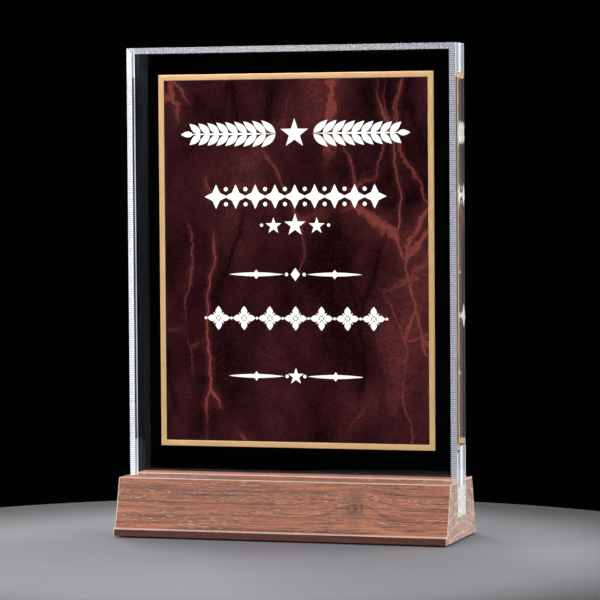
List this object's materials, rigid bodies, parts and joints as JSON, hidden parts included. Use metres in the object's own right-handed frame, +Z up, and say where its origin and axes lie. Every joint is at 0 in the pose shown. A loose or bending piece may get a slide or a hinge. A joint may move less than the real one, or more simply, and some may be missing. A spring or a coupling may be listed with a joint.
{
  "type": "award plaque",
  "caption": "Stand-up award: clear bevelled acrylic upright in a slotted, tapered walnut base, with a brass-edged marble-pattern plate bonded to its back.",
  "frame": {"origin": "middle of the rectangle that the award stands on, on the underside of the felt pad", "axes": "+Z up, +X along the base to the right as seen from the front; the front faces -Y"},
  "size_m": [0.1824, 0.0654, 0.2598],
  "materials": {
    "walnut": "satin oiled",
    "clear_acrylic": "polished",
    "set_glue": "matte",
    "clear_film": "gloss",
    "gold_brass": "brushed",
    "marble_print": "gloss",
    "black_felt": "felt",
    "white_enamel": "satin"
  },
  "bodies": {
    "root": {"walnut_base": "walnut", "acrylic_upright": "clear_acrylic", "slot_adhesive": "set_glue", "bonding_film": "clear_film", "brass_plate": "gold_brass", "marble_panel": "marble_print", "felt_pad": "black_felt"}
  },
  "joints": []
}
